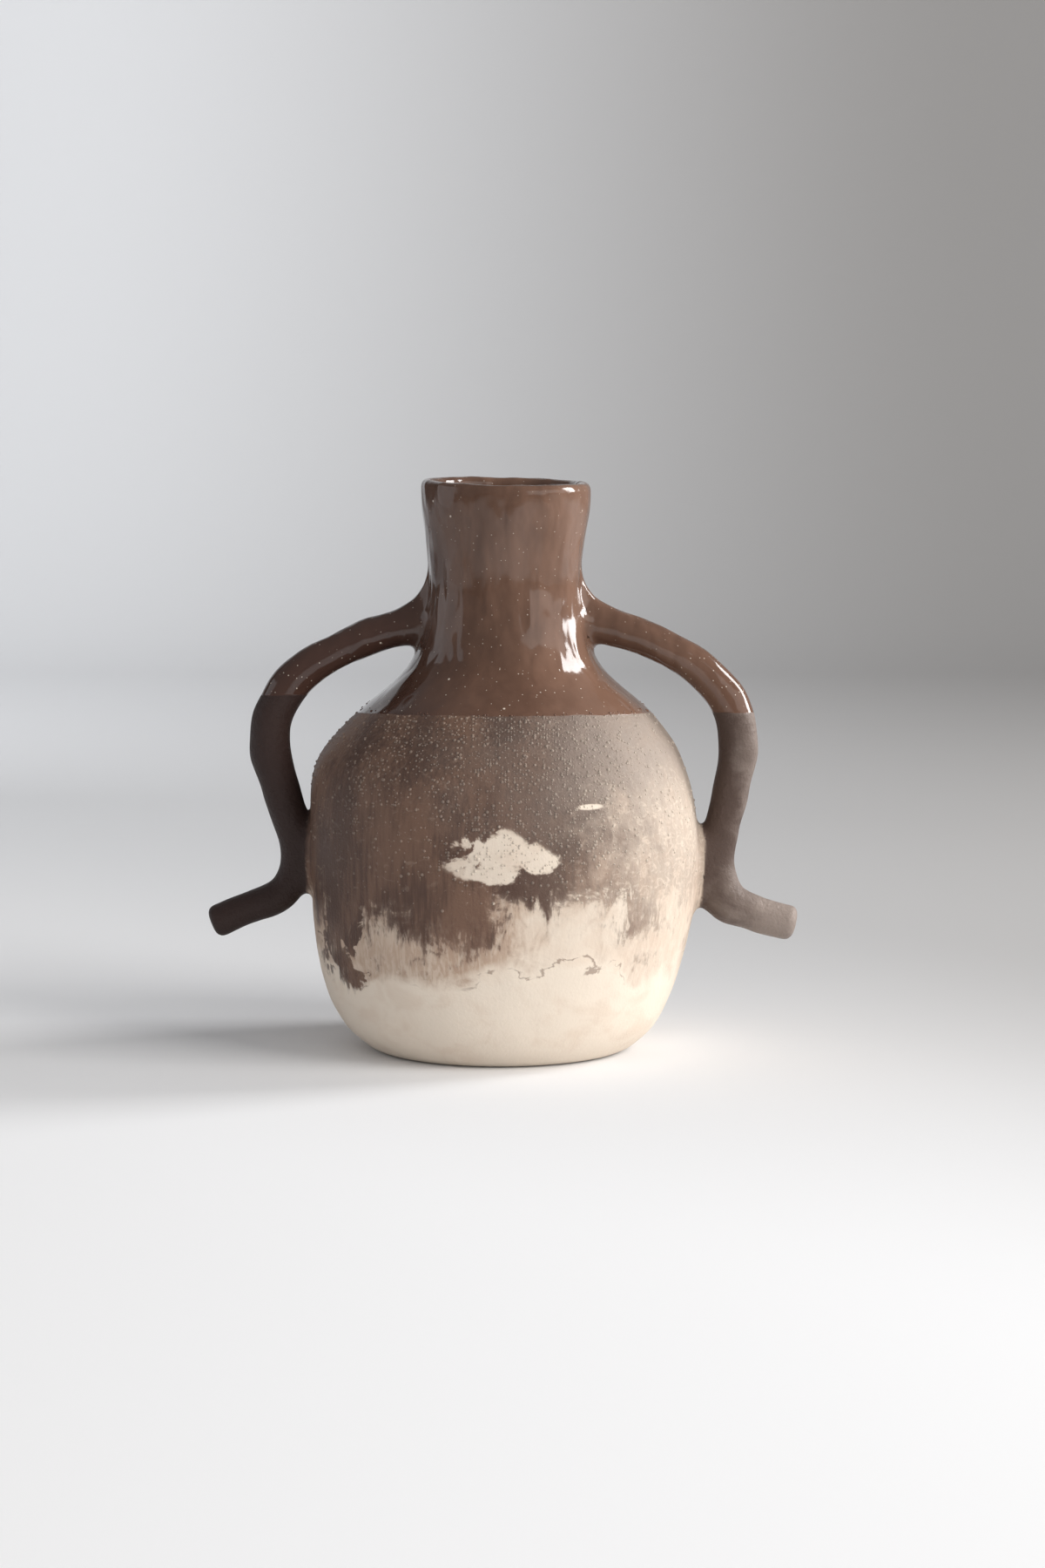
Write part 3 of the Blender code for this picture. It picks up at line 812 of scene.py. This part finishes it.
def coil_share(points):
    """1 on the handles, 0 on the wall, with a soft change in the joints."""
    lead = np.full(len(points), -1.0)
    body = wall.outside(points)
    for coil in coils.values():
        near = np.flatnonzero(coil.outer_side(points))
        lead[near] = body[near] - coil.outside(points[near])[0]
    return ease(lead, *COIL_EDGE_SPAN)


def add_grains(mesh, points, grains):
    """Adds grains to a piece that has these points. Gives the normals of the grains' points."""
    faces = [list(face.vertices) for face in mesh.polygons]
    grain_points, grain_faces, grain_normals = set_grains(*grains)
    faces += [[i + len(points) for i in face] for face in grain_faces]
    mesh.clear_geometry()
    mesh.from_pydata(np.vstack([points, grain_points]), [], faces)
    return grain_normals


def mark_points(mesh, skin_count):
    """Notes for the material which points lie in the hollow, on a grain or on a handle."""
    places = np.array([v.co for v in mesh.vertices])
    inside = (wall.cavity(places) < WALL / 2).astype(float)
    grain = (np.arange(len(places)) >= skin_count).astype(float)
    for mark, values in zip(MARKS, (inside, grain, coil_share(places))):
        layer = mesh.attributes.new(mark, "FLOAT", "POINT")
        layer.data.foreach_set("value", values)


def make_piece(name, points, quads, outward, grains, seam_of, material):
    """One closed piece of the skin, with the grains that sit on it, riding on the vase."""
    used, corners = np.unique(quads, return_inverse=True)
    faces = [list(dict.fromkeys(face)) for face in corners.reshape(-1, 4).tolist()]
    mesh = bpy.data.meshes.new(name)
    mesh.from_pydata(points[used], [], faces)
    close_cuts(mesh, seam_of[used])
    normals = outward[used]
    if grains is not None:
        normals = np.vstack([normals, add_grains(mesh, points[used], grains)])
    mark_points(mesh, len(used))
    mesh.shade_smooth()
    mesh.normals_split_custom_set_from_vertices(normals)
    mesh.materials.append(material)
    piece = bpy.data.objects.new("vase_" + name, mesh)
    bpy.context.scene.collection.objects.link(piece)
    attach(piece, "root")
    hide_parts(*HANDLES.get(name, (name,)))


def make_vase(material):
    """The whole skin with its unevenness and grains, cut into pieces."""
    points, quads, owner, seam_of = lay_skin()
    outward = skin_normals(points, quads)
    points = hand_made(points, outward)
    outward = skin_normals(points, quads)
    rng = np.random.default_rng(GRAIN_SEED)
    places, normals, sizes, seats = scatter_grains(points, quads, outward, rng)
    for number, name in enumerate((*COURSES, *HANDLES)):
        mine = owner[seats] == number
        grains = (places[mine], normals[mine], sizes[mine]) if mine.any() else None
        make_piece(name, points, quads[owner == number], outward, grains, seam_of, material)


# Shader nodes

class Nodes:
    """Short ways to add nodes to one material."""

    def __init__(self, name):
        self.material = bpy.data.materials.new(name)
        self.material.use_nodes = True
        self.tree = self.material.node_tree
        self.shader = self.tree.nodes["Principled BSDF"]
        self.metres = self.add("ShaderNodeTexCoord", {}, output="Object")

    def add(self, kind, inputs, output=0, **settings):
        node = self.tree.nodes.new(kind)
        for name, value in settings.items():
            setattr(node, name, value)
        for name, value in inputs.items():
            self.join(value, node.inputs[name])
        return node.outputs[output]

    def join(self, value, socket):
        if isinstance(value, bpy.types.NodeSocket):
            self.tree.links.new(value, socket)
        else:
            socket.default_value = value

    def split(self, place):
        """The place's three coordinates."""
        return [self.add("ShaderNodeSeparateXYZ", {0: place}, output=axis) for axis in "XYZ"]

    def math(self, operation, *values):
        return self.add("ShaderNodeMath", dict(enumerate(values)), operation=operation)

    def times(self, product, *factors):
        for factor in factors:
            product = self.math("MULTIPLY", product, factor)
        return product

    def most(self, first, second):
        return self.math("MAXIMUM", first, second)

    def between(self, factor, low, high):
        """low where the factor is 0, high where it is 1."""
        inputs = {"Value": factor, "To Min": low, "To Max": high}
        return self.add("ShaderNodeMapRange", inputs)

    def rise(self, value, low, high):
        """0 below low, 1 above high, and a soft rise between. It falls instead if low is above high."""
        inputs = {"Value": value, "From Min": low, "From Max": high}
        return self.add("ShaderNodeMapRange", inputs, interpolation_type="SMOOTHSTEP")

    def mixed(self, factor, first, second):
        """The first value where the factor is 0, the second where it is 1."""
        return self.add("ShaderNodeMix", {"Factor": factor, 2: first, 3: second})

    def blend(self, factor, first, second):
        """The first colour where the factor is 0, the second where it is 1."""
        inputs = {"Factor": factor, 6: first, 7: second}
        return self.add("ShaderNodeMix", inputs, output=2, data_type="RGBA")


class VaseNodes(Nodes):
    """Nodes for the vase's finish: places in millimetres, the marks on its points, and its noises."""

    def __init__(self, name):
        super().__init__(name)
        enlarged = {0: self.metres, "Scale": MM_PER_METRE}
        self.place = self.add("ShaderNodeVectorMath", enlarged, operation="SCALE")
        self.x, self.y, self.z = self.split(self.place)
        self.inside, self.grain, self.coil = [self.read(mark) for mark in MARKS]
        self.noises = {label: self.add_noise(**character) for label, character in NOISES.items()}

    def read(self, mark):
        return self.add("ShaderNodeAttribute", {}, output="Fac", attribute_name=mark)

    def add_noise(self, size, stretch=(1, 1, 1), seed=0.0, detail=3.0, wobble=0.0):
        """Cloudy values from 0 to 1, in lumps of one size that are longer along an axis with more stretch."""
        scale = [1 / (size * s) for s in stretch]
        lumps = {"Vector": self.place, "Location": (seed, seed, seed), "Scale": scale}
        spot = self.add("ShaderNodeMapping", lumps)
        inputs = {"Vector": spot, "Scale": 1.0, "Detail": detail, "Distortion": wobble}
        return self.add("ShaderNodeTexNoise", {**inputs, "Roughness": NOISE_ROUGHNESS})

    def wave(self, name):
        """A noise that runs from -1 to 1."""
        return self.between(self.noises[name], -1.0, 1.0)

    def swayed(self, value, sways):
        """The value moved by noises, each with its own reach."""
        for name, reach in sways.items():
            value = self.math("ADD", value, self.times(self.wave(name), reach))
        return value

    def specks(self, spacing, share, radius):
        """1 in round specks, on the given share of a scattered grid."""
        inputs = {"Vector": self.place, "Scale": 1 / spacing}
        near = self.add("ShaderNodeTexVoronoi", inputs, output="Distance")
        tint = self.add("ShaderNodeTexVoronoi", inputs, output="Color")
        pick = self.add("ShaderNodeSeparateColor", {"Color": tint}, output="Red")
        size = self.times(self.rise(pick, share, share * SPECK_GROWTH), radius / spacing)
        return self.rise(self.math("SUBTRACT", near, size), SPECK_EDGE, -SPECK_EDGE)

    def oval(self, x, z, centre, half, soft):
        """1 in an oval on the vase's front and 0 outside it."""
        across = self.math("DIVIDE", self.math("SUBTRACT", x, centre[0]), half[0])
        up = self.math("DIVIDE", self.math("SUBTRACT", z, centre[1]), half[1])
        square = self.math("ADD", self.times(across, across), self.times(up, up))
        return self.rise(square, 1 + soft, 1 - soft)


def vase_material():
    """Dipped glaze above, brushed slip over sandy clay below it, and bare clay at the foot."""
    n = VaseNodes("dipped_and_brushed_stoneware")
    glaze = glaze_cover(n)
    dots = glaze_specks(n)
    bare = wiped_bare(n)
    cover = slip_cover(n, bare)
    # Sand colour and painted highlight on the grains, more on the clay than under the slip
    slip = n.blend(n.times(n.grain, n.between(cover, *GRAIN_SAND_AND_HIGHLIGHT)), slip_colour(n, bare, cover), SAND_AND_HIGHLIGHT)
    brown = n.blend(dots, glaze_colour(n), SPECK)
    matte = n.between(cover, CLAY_ROUGHNESS, SLIP_ROUGHNESS)
    height = relief(n, glaze, dots, cover)
    bump = n.add("ShaderNodeBump", {"Height": height, "Distance": BUMP_DISTANCE, "Strength": BUMP_STRENGTH})
    n.join(n.blend(glaze, slip, brown), n.shader.inputs["Base Color"])
    n.join(n.mixed(glaze, matte, GLAZE_ROUGHNESS), n.shader.inputs["Roughness"])
    n.join(n.between(glaze, MATTE_SHINE, GLAZE_SHINE), n.shader.inputs["Specular IOR Level"])
    n.join(bump, n.shader.inputs["Normal"])
    return n.material


def relief(n, glaze, dots, cover):
    """Height of the finish: sand, strokes and pits in the matte part, slow waves and specks in the glaze."""
    sand = n.times(n.noises["sand"], n.between(cover, *SAND_RELIEF))
    pits = n.times(n.noises["pits"], n.between(n.coil, *PIT_RELIEF))
    brushed = n.math("ADD", n.swayed(sand, STROKE_RELIEF), pits)
    waves = n.times(n.noises["glaze_waves"], n.between(n.rise(n.z, *WAVE_SPAN), *WAVE_RELIEF))
    glazed = n.math("ADD", waves, n.times(dots, SPECK_RELIEF))
    return n.mixed(glaze, brushed, n.math("ADD", glazed, GLAZE_THICKNESS))


def glaze_cover(n):
    """1 where glazed: inside, and above a line that sinks towards the back and is higher on the left coil."""
    level = n.between(n.rise(n.x, *DIP_LEFT_SPAN), DIP_LEVEL, DIP_LEVEL_LEFT_HANDLE)
    line = n.math("ADD", n.times(n.y, DIP_SLOPE), level)
    above = n.math("SUBTRACT", n.math("ADD", n.z, n.wave("dip_line")), line)
    return n.most(n.rise(above, *DIP_EDGE_SPAN), n.inside)


def glaze_specks(n):
    """1 on the pale specks: a few large ones, and fine ones that gather near the dip line."""
    low = n.rise(n.z, *LOW_GLAZE_SPAN)
    fine = n.times(n.specks(*FINE_SPECKS), n.between(low, *FINE_SPECK_SHARES))
    return n.most(n.specks(*LARGE_SPECKS), fine)


def glaze_colour(n):
    """Brown with faint runs: redder low down, with painted light on the right of the front and painted shade
    on the left.
    """
    runs = n.noises["glaze_runs"]
    brown = n.blend(n.rise(runs, *RUN_SPAN), GLAZE_DARK, GLAZE_LIGHT)
    low = n.rise(n.z, *LOW_GLAZE_SPAN)
    brown = n.blend(n.times(low, RED_SHARE), brown, GLAZE_RED)
    # Painted light: thin here is the glaze made paler on the right of the front, not a thinner glaze
    thin = n.rise(n.math("ADD", n.x, n.between(runs, *PAINTED_LIGHT_RUN_REACH)), *PAINTED_LIGHT_SPAN)
    thin = n.times(thin, PAINTED_LIGHT_SHARE, n.between(n.coil, *PAINTED_LIGHT_COIL_SHARES), n.rise(n.y, *PAINTED_LIGHT_FRONT_SPAN))
    brown = n.blend(thin, brown, GLAZE_PAINTED_LIGHT)
    # Painted shade: the glaze darker towards the left
    painted_shade = n.times(n.between(n.coil, *PAINTED_SHADE_COIL_SHARES), n.rise(n.x, *PAINTED_SHADE_SPAN))
    return n.blend(painted_shade, brown, GLAZE_PAINTED_SHADE)


def wiped_bare(n):
    """1 where the slip was wiped off: a patch on the front, a scratch beside it, and a cream smear below."""
    x = n.swayed(n.x, BARE_SWAYS_X)
    z = n.swayed(n.z, BARE_SWAYS_Z)
    bare = n.oval(n.x, n.z, *SCRATCH)
    for spot in BARE_SPOTS:
        bare = n.most(bare, n.oval(x, z, *spot))
    smear = n.oval(n.swayed(n.x, SMEAR_SWAYS_X), n.swayed(n.z, SMEAR_SWAYS_Z), *SMEAR)
    return n.most(bare, n.times(smear, SMEAR_SHARE))


def slip_cover(n, bare):
    """How far the brown slip hides the clay: all of it on the handles, none below its ragged edge."""
    front = n.rise(n.swayed(n.y, FRONT_SWAYS), *FRONT_SPAN)
    drip = n.times(n.oval(n.swayed(n.x, DRIP_SWAYS_X), n.swayed(n.z, DRIP_SWAYS_Z), *DRIP), front)
    over_edge = n.math("ADD", n.swayed(n.z, SLIP_EDGE_SWAYS), n.times(drip, DRIP_REACH))
    rubbed = n.rise(n.swayed(n.x, RUBBED_SWAYS), *RUBBED_SPAN)
    rubbed = n.times(rubbed, front, n.rise(n.z, *RUBBED_LEVEL_SPAN))
    wiped = n.most(n.times(bare, front), n.times(rubbed, RUBBED_OFF))
    cover = n.times(n.rise(over_edge, *SLIP_EDGE_SPAN), n.math("SUBTRACT", 1.0, wiped))
    # Thinner slip and painted light: less cover towards the right of the front
    faded = n.times(n.rise(n.swayed(n.x, FADED_AND_LIT_SWAYS), *FADED_AND_LIT_SPAN), front)
    cover = n.times(dry_brushed(n, cover), n.between(faded, *FADED_AND_LIT_SHARES), n.between(rubbed, *RUBBED_SHARES))
    return n.most(cover, n.coil)


def dry_brushed(n, cover):
    """The cover of a brush that runs dry: where it thins out it breaks up, into hairs near its lower end."""
    hairs = n.mixed(n.rise(n.z, *DRY_LEVEL_SPAN), n.noises["slip_hairs"], n.noises["mottles"])
    uneven = n.math("ADD", cover, n.between(n.rise(hairs, *DRY_HAIR_SPAN), *DRY_HAIR_REACH))
    broken = n.times(n.rise(uneven, *DRY_EDGE_SPAN), n.rise(cover, *DRY_END_SPAN))
    return n.mixed(DRY_SHARE, cover, broken)


def slip_colour(n, bare, cover):
    """Clay with a thin peach wash, and the brown of the slip where it covers them."""
    wash, dried = wash_cover(n)
    clay = n.blend(n.times(n.rise(n.wave("swirls"), *BLUSH_SPAN), BLUSH_SHARE), CLAY, BLUSH)
    ground = n.blend(n.times(wash, n.between(bare, *WASH_BARE_SHARES)), clay, WASH)
    ground = n.blend(n.times(dried, DRIED_SHARE), ground, SLIP_RED)
    brown = n.blend(n.coil, wall_brown(n), coil_brown(n))
    return n.blend(cover, ground, brown)


def wash_cover(n):
    """How far the wash tints the clay, and the thin dark line left here and there where its foot dried."""
    over_foot = n.math("SUBTRACT", n.z, n.swayed(WASH_FOOT, WASH_FOOT_SWAYS))
    hairs = n.rise(n.noises["wash_hairs"], *WASH_HAIR_SPAN)
    wash = n.times(n.rise(over_foot, *WASH_SPAN), n.between(n.noises["tone"], *WASH_TONE_SHARES))
    wash = n.times(wash, n.between(hairs, *WASH_HAIR_SHARES))
    wash = n.times(wash, n.between(n.rise(n.x, *WASH_RIGHT_SPAN), *WASH_RIGHT_SHARES))
    uneven = n.swayed(n.math("ABSOLUTE", over_foot), DRIED_SWAYS)
    dried = n.times(n.rise(uneven, *DRIED_SPAN), n.rise(n.wave("clouds"), *DRIED_CLOUD_SPAN))
    return wash, dried


def wall_brown(n):
    """The slip's brown on the wall: streaked with red, and greyer on the upper right, a grey tone with
    painted sheen.
    """
    streaked = n.rise(n.swayed(n.noises["tone"], STREAK_SWAYS), *STREAK_SPAN)
    # Painted sheen: the slip greyer towards the upper right
    grey_sheen = n.times(n.rise(n.swayed(n.x, GREY_SHEEN_SWAYS), *GREY_SHEEN_SPAN), n.rise(n.z, *GREY_SHEEN_LEVEL_SPAN))
    return n.blend(grey_sheen, n.blend(streaked, SLIP_DARK, SLIP_RED), SLIP_GREY_SHEEN)


def coil_brown(n):
    """The slip's brown on the handles: painted shade on the left one and painted light on the right one,
    whose tail and outer edge are paler still from wear and painted light.
    """
    # Painted shade on the left handle and painted light on the right one
    tone = n.blend(n.rise(n.x, *COIL_LIGHT_SHADE_SPAN), HANDLE_SLIP_SHADED, HANDLE_SLIP_LIT)
    # Wear and painted light: the right handle's tail and outer edge paler
    tail = n.rise(n.swayed(n.x, TAIL_WEAR_AND_LIGHT_SWAYS), *TAIL_WEAR_AND_LIGHT_SPAN)
    tail = n.times(tail, n.rise(n.z, *TAIL_WEAR_AND_LIGHT_LEVEL_SPAN))
    edge = n.rise(n.swayed(n.x, EDGE_WEAR_AND_LIGHT_SWAYS), *EDGE_WEAR_AND_LIGHT_SPAN)
    worn_and_lit = n.most(tail, n.times(edge, EDGE_WEAR_AND_LIGHT_SHARE))
    return n.blend(n.times(worn_and_lit, COIL_WEAR_AND_LIGHT_SHARE), tone, HANDLE_WORN_AND_LIT)


# Stage, light and camera

def stage_material():
    """A pale floor with painted shade that darkens it near the lamps and far off, and a backdrop with painted
    shade that makes it greyer to the right.
    """
    n = Nodes("pale_backdrop")
    x, y, _ = n.split(n.metres)
    # Painted shade: the backdrop darker towards the right
    backdrop_painted_shade = n.blend(n.rise(x, *BACKDROP_SPAN), BACKDROP_LEFT, BACKDROP_RIGHT)
    far = n.add("ShaderNodeVectorMath", {0: n.metres}, output="Value", operation="LENGTH")
    # Painted shade: the floor darker far off and near the lamps
    near_lamps = n.most(n.rise(x, *FLOOR_FADE_RIGHT), n.rise(y, *FLOOR_FADE_FRONT))
    faded = n.most(n.rise(far, *FLOOR_FADE_ALL_ROUND), near_lamps)
    floor_tone = n.blend(faded, FLOOR_TONE, FLOOR_FAR)
    back = n.rise(n.math("ADD", y, x), *FLOOR_TO_BACKDROP_SPAN)
    n.join(n.blend(back, floor_tone, backdrop_painted_shade), n.shader.inputs["Base Color"])
    n.shader.inputs["Roughness"].default_value = STAGE_ROUGHNESS
    n.shader.inputs["Specular IOR Level"].default_value = STAGE_SHINE
    return n.material


def make_stage():
    """A floor that curves up into a backdrop."""
    turns = np.linspace(0, math.pi / 2, STAGE_BEND_STEPS)
    bend = [(STAGE_BACK + STAGE_BEND * math.sin(t), STAGE_BEND * (1 - math.cos(t))) for t in turns]
    line = [(-STAGE_FRONT, 0), *bend, (STAGE_BACK + STAGE_BEND, STAGE_HEIGHT)]
    mesh = bpy.data.meshes.new("backdrop")
    points = [(side * STAGE_HALF, y, z) for y, z in line for side in (-1, 1)]
    faces = [(2 * i, 2 * i + 1, 2 * i + 3, 2 * i + 2) for i in range(len(line) - 1)]
    mesh.from_pydata(points, [], faces)
    mesh.shade_smooth()
    mesh.materials.append(stage_material())
    backdrop = bpy.data.objects.new("backdrop", mesh)
    bpy.context.scene.collection.objects.link(backdrop)


def add_light(name, place, target, size, power, colour):
    light = bpy.data.lights.new(name, "AREA")
    light.shape = "RECTANGLE"
    light.size, light.size_y = size
    light.energy = power
    light.color = colour
    lamp = bpy.data.objects.new(name, light)
    lamp.location = place
    lamp.rotation_euler = (Vector(target) - Vector(place)).to_track_quat("-Z", "Y").to_euler()
    lamp.visible_camera = False
    lamp.visible_glossy = name not in UNMIRRORED
    bpy.context.scene.collection.objects.link(lamp)


def add_lights():
    for name, settings in LIGHTS.items():
        add_light(name, *settings)
    world = bpy.data.worlds.new("room")
    world.use_nodes = True
    room = world.node_tree.nodes["Background"]
    room.inputs["Color"].default_value = (*ROOM_TONE, 1)
    room.inputs["Strength"].default_value = ROOM_STRENGTH
    bpy.context.scene.world = world


def add_camera():
    camera = bpy.data.cameras.new("camera")
    camera.sensor_fit = "VERTICAL"
    camera.sensor_height = CAMERA_SENSOR
    camera.sensor_width = CAMERA_SENSOR
    camera.lens = CAMERA_LENS
    camera.clip_end = CAMERA_REACH
    eye = bpy.data.objects.new("camera", camera)
    eye.location = CAMERA_PLACE
    eye.rotation_euler = (math.radians(90 - CAMERA_PITCH), 0, 0)
    bpy.context.scene.collection.objects.link(eye)
    bpy.context.scene.camera = eye


make_vase(vase_material())
make_stage()
add_lights()
add_camera()
bpy.context.scene.view_settings.view_transform = "Standard"
